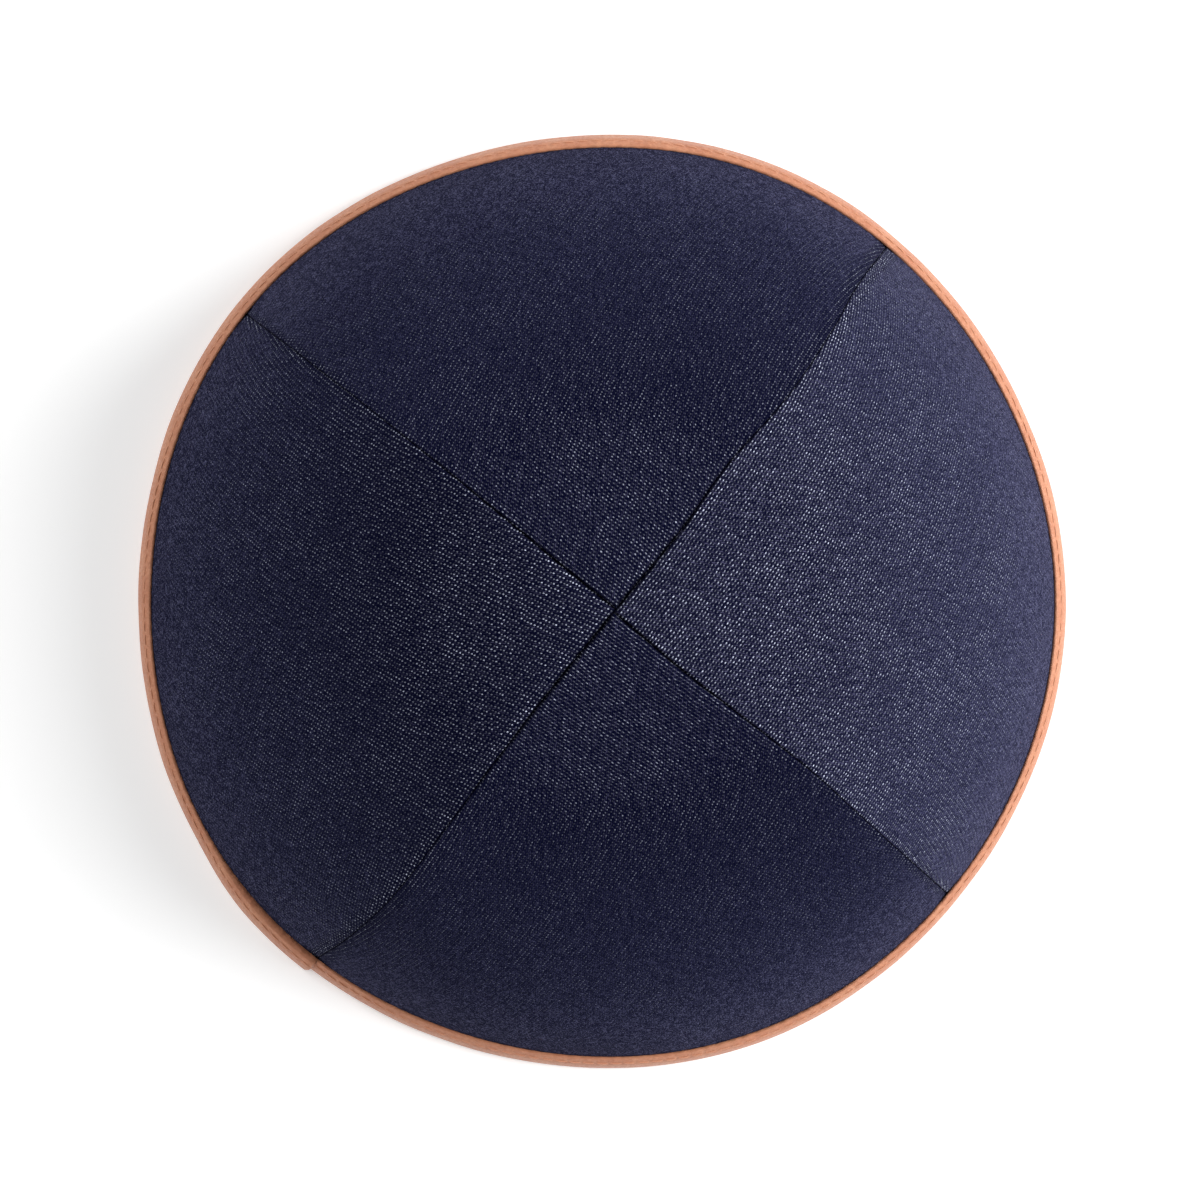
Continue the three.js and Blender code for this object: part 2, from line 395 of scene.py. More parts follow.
# Each panel's tones. The east panel's lighter warp and nap, and the east and west panels' brighter flecks,
# are painted highlight of the east lamp on the threads, so the four are lit and shaded copies of one cloth.
# "outward" is the share of its flecks' and its warp's light away from the apex, painted shade there on the
# north, west and south panels, and "lean" the lean of its flecks near the apex and away from it.
denimTonesAndLight = {
    "denimEast": {"flecks": 0.86, "warp": 0.74, "outward": 1.0, "nap": 0.68, "lean": (0.5, 0.5)},
    "denimNorth": {"flecks": 0.5, "warp": 0.44, "outward": 0.66, "nap": 0.5, "lean": (0.35, -0.2)},
    "denimWest": {"flecks": 0.78, "warp": 0.37, "outward": 0.72, "nap": 0.37, "lean": (0.0, 0.0)},
    "denimSouth": {"flecks": 0.45, "warp": 0.46, "outward": 0.6, "nap": 0.46, "lean": (0.7, -0.3)},
    "denimReverse": {"flecks": 1.2, "warp": 0.6, "outward": 1.0, "nap": 0.6, "lean": (0.5, 0.5)},
}


def denimMaterial(name, tones):
    material, tree, shader = newMaterial(name)
    cloth = surfaceMap(tree, "cloth", denim["span"])
    centred = vectorCalc(tree, "SUBTRACT", cloth, (denim["span"] / 2, denim["span"] / 2, 0))
    apart = addNode(tree, "ShaderNodeVectorMath", operation="LENGTH")
    plug(tree, centred, apart.inputs[0])
    fromApex = apart.outputs["Value"]
    lean = ramp(tree, fromApex, *denim["change"], *tones["lean"])
    weave = useGroup(
        tree, twillWeave, Cloth=cloth, Pick=denim["pick"], End=denim["end"], Uneven=denim["uneven"], Lean=lean
    )
    uneven = useGroup(tree, mottle, Place=cloth, Coarse=70.0, Fine=1300.0)
    fuzzy = useGroup(tree, mottle, Place=cloth, Coarse=650.0)
    # painted shade: flecks and warp darker away from the apex, as each panel's "outward" share sets
    paintedShadeOutward = ramp(tree, fromApex, *denim["change"], 1, tones["outward"])
    light = between(tree, uneven["Speckle"], denim["warpLight"], tones["warp"])
    warp = calc(tree, "MULTIPLY", calc(tree, "MULTIPLY", weave["Warp"], light), paintedShadeOutward)
    # near black between the ends, painted shade, and lighter on the floats' tops, painted highlight
    indigo = mixColor(tree, warp, denim["gapShadeTone"], denim["warpLitTone"], "ADD")
    strength = between(tree, uneven["Soft"], denim["fleckLight"], tones["flecks"])
    # the folds at the seams are rubbed, so that more weft shows
    edge = surfaceMap(tree, "seam", denim["span"])
    fromSeam, outward = splitAxes(tree, edge)[:2]
    rubbed = ramp(tree, fromSeam, denim["edgeWear"], denim["edgeWear"] * 3, 1, 0)
    worn = between(tree, rubbed, (1, denim["edgeWhitening"]))
    strength = calc(tree, "MULTIPLY", strength, paintedShadeOutward)
    fleck = calc(tree, "MULTIPLY", calc(tree, "MULTIPLY", weave["Fleck"], strength), worn)
    woven = mixColor(tree, fleck, indigo, denim["weftTone"])
    # fuzz over the lower wall that blurs the weave: nap raised by wear, with painted sheen towards the rim
    nap = ramp(tree, fromApex, *denim["napRise"], 0, denim["napShare"], "LINEAR")
    nap = calc(tree, "ADD", nap, ramp(tree, fromApex, *denim["rimSheenRise"], 0, denim["rimSheen"]))
    nap = calc(tree, "MULTIPLY", nap, between(tree, rubbed, (1, denim["edgeNap"])))
    napAndSheenTone = mixColor(tree, ramp(tree, fromApex, *denim["napSheenRise"]), denim["napTone"], denim["sheenedRimTone"])
    patches = between(tree, fuzzy["Soft"], denim["patchLight"])
    swirls = cloud(tree, cloth, denim["hairScale"], 1.0, 0.5, denim["hairSwirl"])
    hairs = ramp(tree, swirls, *denim["hairRange"])
    fibres = between(tree, hairs, denim["hairLight"], tones["nap"])
    fuzz = mixColor(tree, calc(tree, "MULTIPLY", patches, fibres), denim["gapShadeTone"], napAndSheenTone, "ADD")
    color = mixColor(tree, nap, woven, fuzz)
    # painted shade down in the seams, darkest near the apex
    faint = denim["seamShade"] * denim["seamShadeOutward"]
    deep = ramp(tree, outward, *denim["seamShadeFall"], denim["seamShade"], faint)
    deep = calc(tree, "MULTIPLY", deep, ramp(tree, cloud(tree, edge, 500.0, 1.0), 0.35, 0.6, 0.5, 1.0))
    reach = ramp(tree, outward, 0.004, 0.03, *denim["seamShadeWidth"])
    shaded = calc(tree, "MULTIPLY", deep, ramp(tree, fromSeam, 0.00005, reach, 1, 0))
    color = mixColor(tree, shaded, color, (0, 0, 0.001, 1))
    plug(tree, color, shader.inputs["Base Color"])
    plug(tree, ramp(tree, weave["Fleck"], 0, 0.6, *denim["roughness"]), shader.inputs["Roughness"])
    addBump(tree, weave["Height"], 0.8, denim["weaveDepth"], shader.inputs["Normal"])
    shader.inputs["Specular IOR Level"].default_value = 0.01
    shader.inputs["Sheen Weight"].default_value = 0.005
    shader.inputs["Sheen Roughness"].default_value = 0.4
    shader.inputs["Sheen Tint"].default_value = (0.7, 0.74, 1.0, 1)
    return material


leather = {
    "span": 0.6,  # metres in one unit of the strip's map
    "tone": (0.535, 0.204, 0.102, 1),
    "darkTone": (0.395, 0.126, 0.057, 1),
    "paleTone": (0.6, 0.256, 0.133, 1),
    "grainScale": 2600.0,
    "grainDepth": 0.00005,
    "creaseWidth": 0.12,  # share of a grain cell
    "creaseShade": 0.25,
    "speckleShade": 0.4,
    "roughness": (0.48, 0.62),
}


def leatherMaterial():
    material, tree, shader = newMaterial("tanLeather")
    strip = surfaceMap(tree, "strip", leather["span"])
    uneven = useGroup(tree, mottle, Place=strip, Coarse=180.0, Fine=1500.0)
    cells = addNode(tree, "ShaderNodeTexVoronoi", feature="DISTANCE_TO_EDGE")
    plug(tree, strip, cells.inputs["Vector"])
    cells.inputs["Scale"].default_value = leather["grainScale"]
    crease = ramp(tree, cells.outputs["Distance"], 0.0, leather["creaseWidth"])
    base = mixColor(tree, uneven["Soft"], leather["tone"], leather["paleTone"])
    shade = calc(tree, "MULTIPLY", uneven["Speckle"], leather["speckleShade"])
    base = mixColor(tree, shade, base, leather["darkTone"])
    creased = between(tree, crease, (leather["creaseShade"], 0.0))
    plug(tree, mixColor(tree, creased, base, leather["darkTone"]), shader.inputs["Base Color"])
    plug(tree, between(tree, uneven["Speckle"], leather["roughness"]), shader.inputs["Roughness"])
    height = calc(tree, "ADD", crease, calc(tree, "MULTIPLY", uneven["Speckle"], 1.2))
    addBump(tree, height, 0.6, leather["grainDepth"], shader.inputs["Normal"])
    shader.inputs["Specular IOR Level"].default_value = 0.6
    shader.inputs["Sheen Weight"].default_value = 0.08
    shader.inputs["Sheen Roughness"].default_value = 0.5
    return material


thread = {
    "span": 0.6,
    "tone": (0.59, 0.26, 0.145, 1),
    "darkTone": (0.43, 0.16, 0.082, 1),
    "twist": 0.00045,  # length of one turn of the plies
    "twistDepth": 0.00006,
}


def threadMaterial():
    material, tree, shader = newMaterial("tanThread")
    place = surfaceMap(tree, "strip", thread["span"])
    axes = splitAxes(tree, place)
    turns = calc(tree, "DIVIDE", calc(tree, "ADD", axes[0], axes[1]), thread["twist"])
    ply = calc(tree, "ABSOLUTE", calc(tree, "SUBTRACT", calc(tree, "FRACT", turns), 0.5))
    # painted shade down in the grooves between the plies, which the bump sinks too
    valleyShade = ramp(tree, ply, 0.3, 0.5, 0.0, 0.55)
    plug(tree, mixColor(tree, valleyShade, thread["tone"], thread["darkTone"]), shader.inputs["Base Color"])
    addBump(tree, calc(tree, "SUBTRACT", 1.0, valleyShade), 0.7, thread["twistDepth"], shader.inputs["Normal"])
    shader.inputs["Roughness"].default_value = 0.5
    shader.inputs["Sheen Weight"].default_value = 0.15
    return material


denims = {name: denimMaterial(name, tones) for name, tones in denimTonesAndLight.items()}
tanLeather = leatherMaterial()
tanThread = threadMaterial()
print("materials ready")


def ringFaces(first, second, flip=False):
    # quads between two rows of vertex numbers
    faces = []
    for column in range(len(first) - 1):
        face = (first[column], second[column], second[column + 1], first[column + 1])
        faces.append(face[::-1] if flip else face)
    return faces


def buildMesh(name, points, faces, materials, faceMaterials, maps):
    mesh = bpy.data.meshes.new(name)
    mesh.from_pydata(points.tolist(), [], faces)
    for material in materials:
        mesh.materials.append(material)
    mesh.polygons.foreach_set("material_index", faceMaterials)
    mesh.polygons.foreach_set("use_smooth", [True] * len(faces))
    for mapName, corners in maps.items():
        layer = mesh.uv_layers.new(name=mapName)
        layer.data.foreach_set("uv", np.asarray(corners, np.float32).ravel())
    mesh.update()
    piece = bpy.data.objects.new(name, mesh)
    bpy.context.scene.collection.objects.link(piece)
    return piece


panelCard = {
    "rows": 150,
    "rowCrowding": 1.1,  # towards the apex
    "firstShare": 0.0004,  # of the way from apex to rim, where the rows begin
    "middleColumns": 70,
    # millimetres from a seam at which columns stand, closest at the rolled edge
    "edgeColumns": [0, 0.04, 0.1, 0.18, 0.28, 0.4, 0.55, 0.8, 1.2, 1.8, 2.6, 3.6],
    "seamGap": 0.00006,
    "seamLap": 0.00008,  # how far the inner faces pass each other, which closes the seam
    "longSeam": 0.6,  # the seam from north-east to south-west is this much tighter, so its groove is wider
    "edgeRoll": 0.0008,  # radius at which the cloth turns into the seam near the apex
    "rimRoll": 0.0003,  # and near the rim
    "seamDip": 0.00026,
    "dipWidth": 0.0022,
    "puckerHeight": 0.00016,
    "puckerLength": 0.005,
    "puckerReach": 0.0045,
    "waveHeight": 0.00028,
    "waveLength": 0.03,
    "allowance": 0.0065,  # width of the turned edge inside
    "allowanceStep": 0.0004,
    "allowanceBlend": 0.0005,
    "tipShift": 0.0003,  # half the step between the two short seams at the apex
    "tipReach": 0.009,
    "warpSkew": math.tan(math.radians(2.1)),
    "mapRows": 260,  # of the grid on which the cloth's lengths are added up
    "mapColumns": 161,
}

panels = [
    {"name": "east", "from": "southEast", "to": "northEast", "half": -1, "face": "denimEast"},
    {"name": "north", "from": "northEast", "to": "northWest", "half": 1, "face": "denimNorth"},
    {"name": "west", "from": "northWest", "to": "southWest", "half": 1, "face": "denimWest"},
    {"name": "south", "from": "southWest", "to": "southEast", "half": -1, "face": "denimSouth"},
]


def panelAngles(panel, share):
    start = seamAngle(panel["from"], share)
    stop = seamAngle(panel["to"], share)
    return start, np.where(stop > start, stop, stop + 360)


def clothMap(panel, points):
    # where a point lies on the flat cloth: length along the warp, then the place across it
    start, stop = panelAngles(panel, 0.5)
    axis = float(start + stop) / 2
    reach = rimRadius * 1.02
    rows, columns = panelCard["mapRows"], panelCard["mapColumns"]
    ahead = np.linspace(0, reach, rows)[:, None]
    aside = np.linspace(-reach, reach, columns)[None, :]
    turned = axis + np.degrees(np.arctan2(aside, ahead + 1e-9))
    share = np.clip(np.hypot(ahead, aside) / (clothRadius * rimWave(turned)), 1e-6, 1)
    begin, finish = panelAngles(panel, share)
    nearest = begin + (turned - begin + 180) % 360 - 180
    across = np.clip(2 * (nearest - begin) / (finish - begin) - 1, -1.95, 1.95)
    height = crownHeight(share, across)
    step = reach / (rows - 1)
    slope = np.gradient(height, step, axis=0)
    pace = np.hypot(1, slope)
    length = np.cumsum((pace + np.roll(pace, 1, axis=0)) / 2 * step, axis=0)
    length -= length[0]
    turn = math.radians(axis)
    x = points[..., 0] * math.cos(turn) + points[..., 1] * math.sin(turn)
    y = points[..., 1] * math.cos(turn) - points[..., 0] * math.sin(turn)
    row = np.clip(x / step, 0, rows - 1.001)
    column = np.clip((y + reach) / (2 * reach / (columns - 1)), 0, columns - 1.001)
    r, c = row.astype(int), column.astype(int)
    fr, fc = row - r, column - c
    along = (length[r, c] * (1 - fr) + length[r + 1, c] * fr) * (1 - fc)
    along += (length[r, c + 1] * (1 - fr) + length[r + 1, c + 1] * fr) * fc
    return np.stack([along, y + along * panelCard["warpSkew"]], axis=-1) / denim["span"] + 0.5


def panelPiece(panel, seed):
    card = panelCard
    rows = np.linspace(0, 1, card["rows"] + 1)[:, None] ** card["rowCrowding"]
    share = card["firstShare"] + rows * (1 - card["firstShare"])
    start, stop = panelAngles(panel, share)
    radius = clothRadius * share
    width = np.radians(stop - start) * radius
    edge = np.array(card["edgeColumns"]) * 0.001
    scale = np.minimum(1, width / (3.2 * edge[-1]))
    near = edge[None, :] * scale
    middle = np.linspace(0, 1, card["middleColumns"] + 2)[None, 1:-1]
    inner = near[:, -1:] + (width - 2 * near[:, -1:]) * middle
    walked = np.concatenate([near, inner, width - near[:, ::-1]], axis=1)
    margin = np.degrees(np.arcsin(np.minimum(1, card["seamGap"] / 2 / radius)))
    part = walked / width
    angle = start + margin + (stop - start - 2 * margin) * part
    across = 2 * part - 1
    fromSeam = np.minimum(np.sin(np.radians(angle - start)), np.sin(np.radians(stop - angle))) * radius
    fromSeam = np.maximum(fromSeam - card["seamGap"] / 2, 0)
    flat = crownPoint(share, across, angle, 0)
    turn = card["edgeRoll"] + (card["rimRoll"] - card["edgeRoll"]) * smooth(share, 0.15, 0.8)
    short = np.clip(turn - fromSeam, 0, turn)
    roll = turn - np.sqrt(np.maximum(turn ** 2 - short ** 2, 0))
    dip = card["seamDip"] * np.exp(-(fromSeam / card["dipWidth"]) ** 2)
    side = np.where(across < 0, 0.0, 1.0)
    route = np.stack([np.broadcast_to(radius, across.shape), side, np.zeros_like(across)], axis=-1)
    pucker = wobble(route / [1, card["puckerLength"] / 9, 1], card["puckerLength"], seed)
    pucker *= card["puckerHeight"] * np.exp(-fromSeam / card["puckerReach"])
    wave = wobble(flat, card["waveLength"], seed + 11) * card["waveHeight"]
    wave *= smooth(fromSeam, 0, 0.01) * (1 - smooth(share, 0.9, 0.97))
    outer = crownPoint(share, across, angle, wave + pucker - dip - roll)
    blend = card["allowanceBlend"]
    turned = 1 - smooth(fromSeam, card["allowance"] - blend, card["allowance"] + blend)
    turned *= card["allowanceStep"] * smooth(fromSeam, 0, 0.0006)
    lap = margin + np.minimum(np.degrees(card["seamLap"] / radius), 20)
    innerAngle = angle.copy()
    innerAngle[:, :1] -= lap
    innerAngle[:, -1:] += lap
    innerOffset = wave - cap["clothWall"] - turned * (1 - smooth(share, 0.93, 0.96))
    innerFace = crownPoint(share, across, innerAngle, innerOffset)
    slide = panel["half"] * card["tipShift"] * np.exp(-radius / card["tipReach"])[..., None]
    longSeam = math.radians(seamRoutes["northEast"][0][1])
    shift = slide * np.array([math.cos(longSeam), math.sin(longSeam), 0])
    outer = outer + shift
    innerFace = innerFace + shift
    count = outer.shape[1]
    total = outer.shape[0] * count
    number = np.arange(total).reshape(outer.shape[0], count)
    under = number + total
    faces = []
    for row in range(card["rows"]):
        faces += ringFaces(number[row].tolist(), number[row + 1].tolist())
    outsideCount = len(faces)
    faces += ringFaces(number[-1].tolist(), under[-1].tolist())
    faces += ringFaces(under[0].tolist(), number[0].tolist())
    faces += ringFaces(number[:, -1].tolist(), under[:, -1].tolist(), flip=True)
    faces += ringFaces(number[:, 0].tolist(), under[:, 0].tolist())
    edgeCount = len(faces)
    for row in range(card["rows"]):
        faces += ringFaces(under[row].tolist(), under[row + 1].tolist(), flip=True)
    points = np.concatenate([outer.reshape(-1, 3), innerFace.reshape(-1, 3)])
    pointMap = np.tile(clothMap(panel, outer).reshape(-1, 2), (2, 1))
    tight = [card["longSeam"] if panel[end] in ("northEast", "southWest") else 1.0 for end in ("from", "to")]
    groove = fromSeam * np.where(across < 0, *tight)
    beside = np.stack([groove, np.broadcast_to(radius, groove.shape)], axis=-1).reshape(-1, 2)
    seamMap = np.tile(beside / denim["span"], (2, 1))
    faceMaterials = [0] * edgeCount + [1] * (len(faces) - edgeCount)
    name = "denim_panel_" + panel["name"]
    corners = np.array(faces).ravel()
    maps = {"cloth": pointMap[corners], "seam": seamMap[corners]}
    materials = [denims[panel["face"]], denims["denimReverse"]]
    piece = buildMesh(name, points, faces, materials, faceMaterials, maps)
    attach(piece, "root")
    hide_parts("panel_" + panel["name"])
    return piece


for seed, panel in enumerate(panels):
    panelPiece(panel, seed)
print("denim panels made")


bindingCard = {
    "outside": 0.0052,  # leather up the slope outside, from the fold
    "inside": 0.0056,
    "stitchPitch": 0.0025,
    "stitchInset": 0.00125,  # from the strip's edge to its stitches
    "stepsPerStitch": 7,
    "taper": 0.0022,  # the strip is pressed thinner over this distance from its edge
    "thinning": 0.6,
    "grooveDepth": 0.00005,
    "grooveWidth": 0.00045,
    "holeDepth": 0.00004,
    "holeWidth": 0.00028,
    "scallop": 0.00006,
    "edgeWander": 0.00018,
    "lapLength": 0.0136,
    "lapThickness": 0.0008,
    "lapRamp": 0.02,
    "lapEndAngle": 231.5,
    "lapRound": 0.0004,
    "lapCorner": 0.0009,
    "swell": 0.00008,
    # millimetres from the lap's end at which columns stand
    "endColumns": [0.04, 0.1, 0.18, 0.28, 0.5, 0.7, 0.9, 1.1],
    "soleBulge": 0.12,
    "soleRound": 0.0014,  # lengths in the strip's map: round one side of the fold, and across the sole
    "soleWidth": 0.0012,
}
stitchCount = round(2 * math.pi * rimRadius / bindingCard["stitchPitch"])
stitchTurn = 360 / stitchCount
slopeToEdge = edgeHeight / math.sin(rimSlope)
outsideLeg = bindingCard["outside"] - slopeToEdge
insideLeg = bindingCard["inside"] - slopeToEdge


def toLapEnd(angle):
    return np.radians(bindingCard["lapEndAngle"] + 360 - angle) * rimRadius


def lapLift(angle, recede=0.0):
    card = bindingCard
    left = toLapEnd(angle)
    climb = 1 - smooth(left, card["lapLength"], card["lapLength"] + card["lapRamp"])
    fromEnd = np.clip((left - recede) / card["lapRound"], 0, 1)
    return card["lapThickness"] * climb * np.sqrt(1 - (1 - fromEnd) ** 2)


def fromStitchHole(angle):
    # distance along the rim to the nearest needle hole
    part = (angle - bindingCard["lapEndAngle"]) / stitchTurn
    return np.abs(part - np.round(part)) * bindingCard["stitchPitch"]


def leatherFace(angle, down):
    # the strip's face over the cloth, at a distance down from its edge
    card = bindingCard
    hole = fromStitchHole(angle)
    fromRow = down - card["stitchInset"]
    taper = 1 - np.clip(down / card["taper"], 0, 1)
    face = standoff * (1 - card["thinning"] * taper ** 1.6)
    groove = card["grooveDepth"] * np.exp(-(fromRow / card["grooveWidth"]) ** 2)
    pit = card["holeDepth"] * np.exp(-(fromRow / card["holeWidth"]) ** 2 - (hole / card["holeWidth"]) ** 2)
    return face - groove - pit


def legPoint(angle, down, leg, offset):
    reach = leg * math.cos(rimSlope) / clothRadius
    return crownPoint(1 - reach * (1 - down / leg), 0, angle, offset)


def footPoint(angle, offset, up):
    out = clothRadius * rimWave(angle) + offset / math.sin(rimSlope) + (edgeHeight - up) / math.tan(rimSlope)
    return planePoint(angle, out, np.broadcast_to(up, np.shape(out)))


def soleCurve(corner, inward, part):
    # from the leg's foot round to the flat that the cap rests on
    turn = part * math.pi / 2
    out = corner[..., :2]
    size = cap["foldRound"]
    length = np.linalg.norm(out, axis=-1, keepdims=True)
    bulge = bindingCard["soleBulge"] * math.sin(2 * turn)
    moved = out * (1 - inward * size * (1 - math.cos(turn) - bulge) / length)
    up = size * (1 - math.sin(turn))
    return np.concatenate([moved, np.full(length.shape, up)], axis=-1)


def bindingPiece():
    card = bindingCard
    steps = stitchCount * card["stepsPerStitch"]
    even = np.linspace(0, 360, steps + 1)[:-1]
    endTurns = np.degrees(np.array(card["endColumns"]) * 0.001 / rimRadius)
    turns = np.unique(np.concatenate([even, 360 - endTurns, endTurns[:3]]))
    angle = card["lapEndAngle"] + turns
    ring = planePoint(angle, rimRadius, 0.0)
    wander = wobble(ring, 0.013, 5) * card["edgeWander"]
    swell = wobble(ring, 0.009, 8) * card["swell"]
    scallop = card["scallop"] * np.cos(2 * math.pi * fromStitchHole(angle) / card["stitchPitch"])
    lift = lapLift(angle)
    row = card["stitchInset"]
    downs = [0, 0.00012, 0.0003, 0.00055, row - 0.00045, row - 0.0002, row, row + 0.0002, row + 0.00045]
    downs += [0.0021, 0.0028]
    rings = []
    travel = []

    def addRing(points, distance):
        rings.append(points)
        travel.append(distance)

    def addLeg(leg, side, start, order):
        # side is 1 outside and -1 inside
        base = 0 if side > 0 else -cap["clothWall"]
        marks = downs + [leg]
        for down in marks[::order]:
            fade = max(0.0, 1 - down / 0.0025)
            moved = down + (scallop + wander) * fade
            top = leatherFace(angle, down) + swell * min(1, down / 0.002) + lift
            addRing(legPoint(angle, moved, leg, base + side * top), start + order * down)

    addLeg(outsideLeg, 1, 0.0, 1)
    length = outsideLeg
    recede = card["lapCorner"]
    for up, share in ((0.0016, 0.2), (cap["foldRound"], 0.45)):
        outside = standoff + swell + lapLift(angle, recede * share)
        addRing(footPoint(angle, outside, up), length + edgeHeight - up)
    soleStart = footPoint(angle, standoff + swell + lapLift(angle, recede * 0.6), cap["foldRound"])
    length += edgeHeight - cap["foldRound"]
    for part in (0.2, 0.4, 0.6, 0.8, 1.0):
        addRing(soleCurve(soleStart, 1, part), length + part * card["soleRound"])
    length += card["soleRound"]
    insideOffset = -cap["clothWall"] - standoff - lift
    soleEnd = footPoint(angle, insideOffset, cap["foldRound"])
    for part in (1.0, 0.75, 0.5, 0.25):
        addRing(soleCurve(soleEnd, -1, part), length + card["soleWidth"] + (1 - part) * card["soleRound"])
    length += card["soleWidth"] + card["soleRound"]
    for up in (cap["foldRound"], 0.0016):
        addRing(footPoint(angle, insideOffset, up), length + up - cap["foldRound"])
    length += edgeHeight - cap["foldRound"]
    addLeg(insideLeg, -1, length + insideLeg, -1)
    # back down beside the cloth, under its edge and up again
    hidden = cap["leatherClearance"] * 0.2
    length += insideLeg
    under = -cap["clothWall"] - hidden
    addRing(legPoint(angle, scallop + wander, insideLeg, under), length + 0.0008)
    addRing(legPoint(angle, 0.0015, insideLeg, under), length + 0.0023)
    addRing(legPoint(angle, insideLeg, insideLeg, under), length + 0.0048)
    addRing(footPoint(angle, under, cap["leatherThickness"]), length + 0.0058)
    addRing(footPoint(angle, hidden, cap["leatherThickness"]), length + 0.0073)
    addRing(legPoint(angle, outsideLeg, outsideLeg, hidden), length + 0.0083)
    addRing(legPoint(angle, 0.0015, outsideLeg, hidden), length + 0.0108)
    addRing(legPoint(angle, scallop + wander, outsideLeg, hidden), length + 0.0123)

    points = np.stack(rings, axis=1)
    points[..., 2] = np.maximum(points[..., 2], 0)
    sections, sides = points.shape[:2]
    number = np.arange(sections * sides).reshape(sections, sides)
    across = np.array(travel + [travel[-1] + 0.0008])
    around = np.append(np.radians(turns) * rimRadius, 2 * math.pi * rimRadius)
    faces = []
    faceMap = []
    for section in range(sections):
        following = (section + 1) % sections
        for side in range(sides):
            beside = (side + 1) % sides
            here, there = number[section], number[following]
            faces.append((here[side], here[beside], there[beside], there[side]))
            low, high = around[section], around[section + 1]
            near, far = across[side], across[side + 1]
            faceMap += [(low, near), (low, far), (high, far), (high, near)]
    faceMap = np.array(faceMap) / leather["span"]
    faces = [tuple(int(corner) for corner in face) for face in faces]
    maps = {"strip": faceMap}
    piece = buildMesh("leather_binding", points.reshape(-1, 3), faces, [tanLeather], [0] * len(faces), maps)
    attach(piece, "root")
    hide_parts("rim_binding")
    return piece


bindingPiece()
print("leather binding made")


stitchCard = {
    "radius": 0.00015,
    "sides": 8,
    "steps": 9,
    "bury": 0.00022,  # how deep a stitch dives at its holes
    "slant": 0.00012,  # how far one end stands nearer the strip's edge
    "loose": 0.00005,
    "stand": 0.35,  # height of its middle over the leather, in radii
    "tipThinning": 0.35,
    "flatness": 0.8,
}


def stitchRow(name, leg, side):
    card = stitchCard
    points = []
    faces = []
    faceMap = []
    base = 0 if side > 0 else -cap["clothWall"]
    circle = np.linspace(0, 2 * math.pi, card["sides"], endpoint=False)
    facet = 2 * math.pi * card["radius"] / card["sides"]
    for index in range(stitchCount):
        part = np.linspace(0.02, 0.98, card["steps"])
        angle = bindingCard["lapEndAngle"] + (index + part) * stitchTurn
        vary = noise.noise(Vector((index * 0.73, side * 4.1, 2.0)))
        down = bindingCard["stitchInset"] + card["slant"] * (part - 0.5) * 2 + card["loose"] * vary
        lying = leatherFace(angle, down) + lapLift(angle)
        dive = card["bury"] * (np.abs(2 * part - 1)) ** 3
        offset = base + side * (lying + card["radius"] * card["stand"] - dive)
        middle = legPoint(angle, down, leg, offset)
        outward = legPoint(angle, down, leg, offset + side * 0.001) - middle
        outward /= np.linalg.norm(outward, axis=-1, keepdims=True)
        ahead = np.gradient(middle, axis=0)
        ahead /= np.linalg.norm(ahead, axis=-1, keepdims=True)
        sideways = np.cross(ahead, outward)
        thick = card["radius"] * (1 - card["tipThinning"] * np.abs(2 * part - 1) ** 4)
        first = len(points)
        for step in range(card["steps"]):
            for turn in circle:
                swing = outward[step] * math.cos(turn) * card["flatness"] + sideways[step] * math.sin(turn)
                points.append(middle[step] + swing * thick[step])
        for step in range(card["steps"] - 1):
            for corner in range(card["sides"]):
                beside = (corner + 1) % card["sides"]
                low = first + step * card["sides"]
                high = low + card["sides"]
                faces.append((low + corner, low + beside, high + beside, high + corner))
                start = (index + part[step]) * bindingCard["stitchPitch"]
                stop = (index + part[step + 1]) * bindingCard["stitchPitch"]
                near = corner * facet
                far = near + facet
                faceMap += [(start, near), (start, far), (stop, far), (stop, near)]
        tail = first + (card["steps"] - 1) * card["sides"]
        faces.append(tuple(range(first + card["sides"] - 1, first - 1, -1)))
        faces.append(tuple(range(tail, tail + card["sides"])))
        faceMap += [(0, 0)] * (2 * card["sides"])
    faceMap = np.array(faceMap) / thread["span"]
    piece = buildMesh(name, np.array(points), faces, [tanThread], [0] * len(faces), {"strip": faceMap})
    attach(piece, "root")
    return piece


stitchRow("binding_stitches_outside", outsideLeg, 1)
stitchRow("binding_stitches_inside", insideLeg, -1)
print("stitches made")


# The stage: pale floor, a large soft light from the east, a weak one from the north-west, and white all round
studio = {
    "floorRadius": 1.1,
    "floorTone": (0.8, 0.8, 0.8, 1),
    "floorGlow": 0.34,  # as on a light table
    "skyStrength": 0.2,
    "horizonStrength": 1.0,
    "horizonTop": 0.2,  # height of the bright horizon, as the sine of its elevation
    # size and distance in metres, power in watts, azimuth and elevation in degrees
    "lamps": [
        {"name": "key", "size": 1.0, "distance": 1.6, "power": 34, "azimuth": 3, "elevation": 33},
        {"name": "fill", "size": 1.4, "distance": 1.8, "power": 15, "azimuth": 150, "elevation": 50},
    ],
}

cameraCard = {
    "distance": 0.763,
    "leanWest": 1.92,
    "leanNorth": 1.23,
    "lens": 127,
    "sensor": 36,
    "aim": (-0.0003, 0.00038, 0),
}


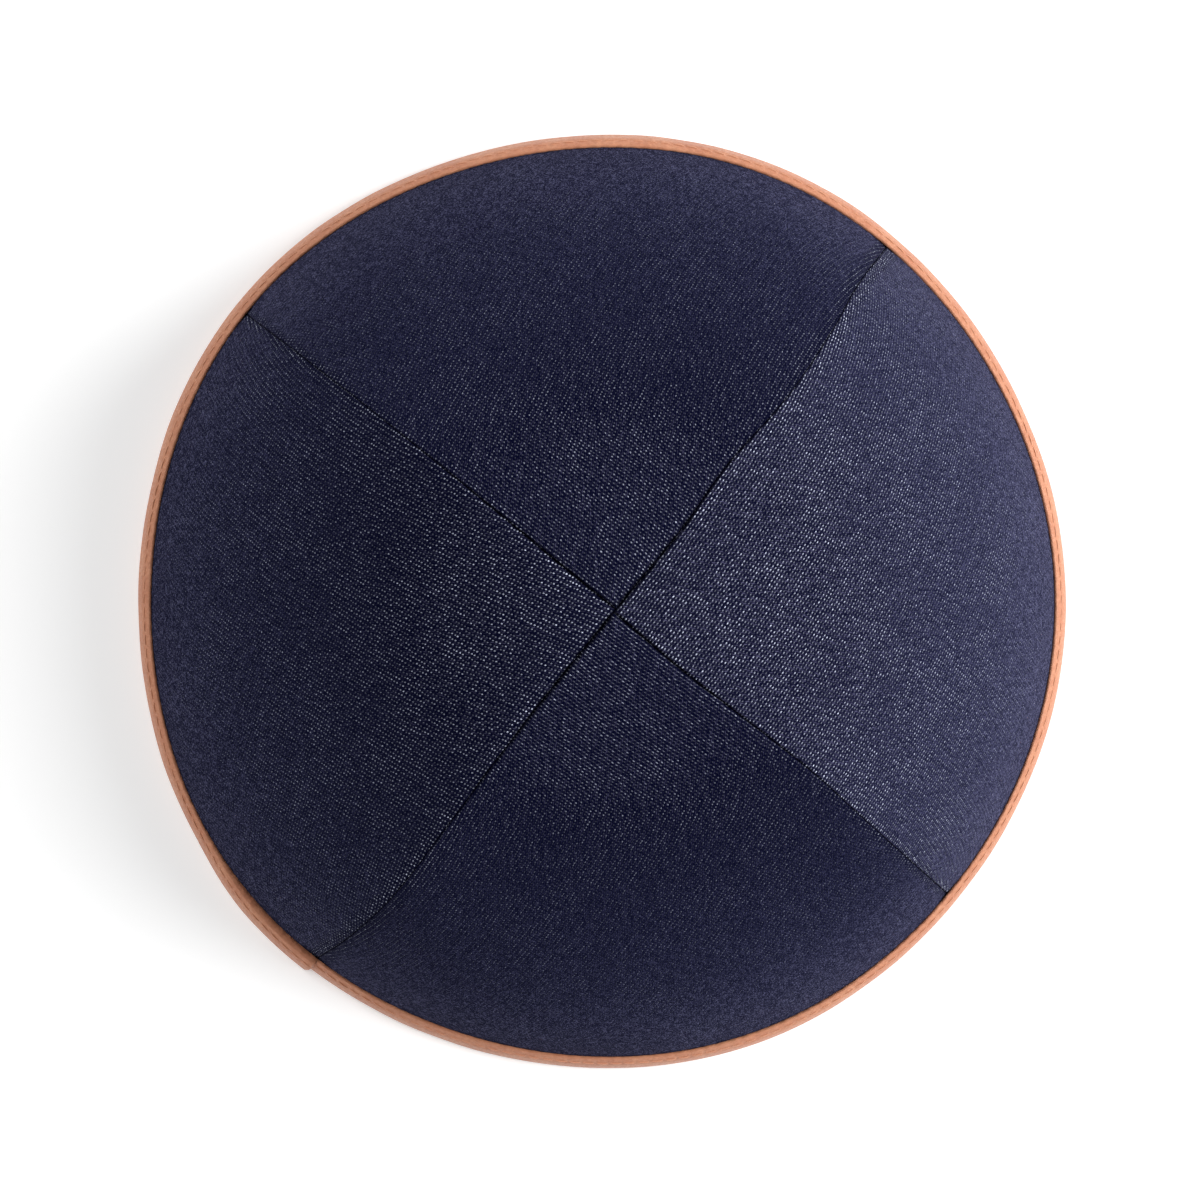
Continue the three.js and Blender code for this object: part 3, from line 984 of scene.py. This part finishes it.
def buildFloor():
    mesh = bpy.data.meshes.new("floor")
    turns = np.linspace(0, 2 * math.pi, 97)[:-1]
    edge = [(studio["floorRadius"] * math.cos(t), studio["floorRadius"] * math.sin(t), 0) for t in turns]
    mesh.from_pydata(edge, [], [tuple(range(len(edge)))])
    material, tree, shader = newMaterial("paleFloor")
    shader.inputs["Base Color"].default_value = studio["floorTone"]
    shader.inputs["Roughness"].default_value = 0.9
    shader.inputs["Specular IOR Level"].default_value = 0.1
    shader.inputs["Emission Color"].default_value = (1, 1, 1, 1)
    shader.inputs["Emission Strength"].default_value = studio["floorGlow"]
    mesh.materials.append(material)
    floor = bpy.data.objects.new("floor", mesh)
    floor.location.z = -0.00003
    bpy.context.scene.collection.objects.link(floor)


def buildLight():
    world = bpy.data.worlds.new("studio")
    world.use_nodes = True
    tree = world.node_tree
    background = tree.nodes["Background"]
    background.inputs["Color"].default_value = (1, 1, 1, 1)
    direction = addNode(tree, "ShaderNodeTexCoord")
    upward = splitAxes(tree, direction.outputs["Generated"])[2]
    top = studio["horizonTop"]
    strength = ramp(tree, upward, top, top * 1.5, studio["horizonStrength"], studio["skyStrength"])
    plug(tree, strength, background.inputs["Strength"])
    bpy.context.scene.world = world
    for card in studio["lamps"]:
        lamp = bpy.data.lights.new(card["name"], "AREA")
        lamp.shape = "DISK"
        lamp.size = card["size"]
        lamp.energy = card["power"]
        lit = bpy.data.objects.new(card["name"], lamp)
        azimuth = math.radians(card["azimuth"])
        elevation = math.radians(card["elevation"])
        flat = math.cos(elevation)
        aim = Vector((flat * math.cos(azimuth), flat * math.sin(azimuth), math.sin(elevation)))
        lit.location = aim * card["distance"]
        lit.rotation_euler = aim.to_track_quat("Z", "Y").to_euler()
        bpy.context.scene.collection.objects.link(lit)


def buildCamera():
    lens = bpy.data.cameras.new("camera")
    lens.lens = cameraCard["lens"]
    lens.sensor_width = cameraCard["sensor"]
    camera = bpy.data.objects.new("camera", lens)
    west = math.sin(math.radians(cameraCard["leanWest"]))
    north = math.sin(math.radians(cameraCard["leanNorth"]))
    direction = Vector((-west, north, math.sqrt(1 - west ** 2 - north ** 2)))
    right = Vector((0, 1, 0)).cross(direction).normalized()
    up = direction.cross(right)
    turn = Matrix((right, up, direction)).transposed().to_4x4()
    place = Vector(cameraCard["aim"]) + direction * cameraCard["distance"]
    camera.matrix_world = Matrix.Translation(place) @ turn
    bpy.context.scene.collection.objects.link(camera)
    bpy.context.scene.camera = camera


buildFloor()
buildLight()
buildCamera()
bpy.context.scene.view_settings.view_transform = "Standard"
print("stage set")
